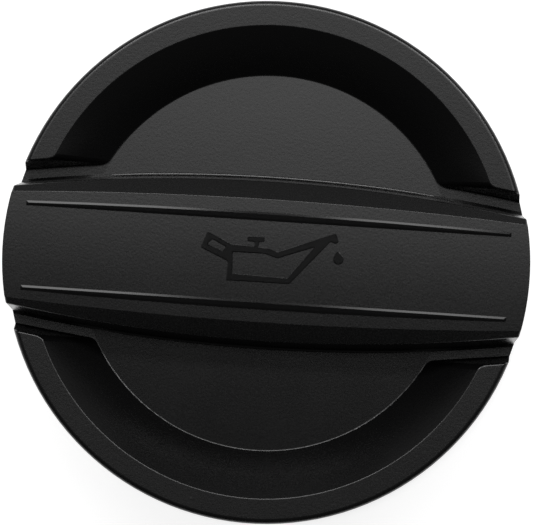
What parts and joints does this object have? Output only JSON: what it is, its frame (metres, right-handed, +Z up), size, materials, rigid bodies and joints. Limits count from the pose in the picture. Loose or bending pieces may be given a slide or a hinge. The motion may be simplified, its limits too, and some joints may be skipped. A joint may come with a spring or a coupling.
{
  "type": "oil filler cap",
  "caption": "Round black moulded cap with a dished top, a raised grip bar across it, and a hollow neck with a rubber O-ring and bayonet lugs, which closes an engine's oil filler bore.",
  "frame": {"origin": "centre of the neck's lower end, on the cap's axis", "axes": "+Z up along the cap's axis, away from the engine; +X along the grip bar"},
  "size_m": [0.075, 0.075, 0.0342],
  "materials": {
    "grained_nylon": "black glass-filled nylon with a fine spark-eroded mould grain",
    "seal_rubber": "smooth black oil-resistant rubber"
  },
  "bodies": {
    "root": {"cap_body": "grained_nylon", "seal_ring": "seal_rubber"}
  },
  "joints": []
}
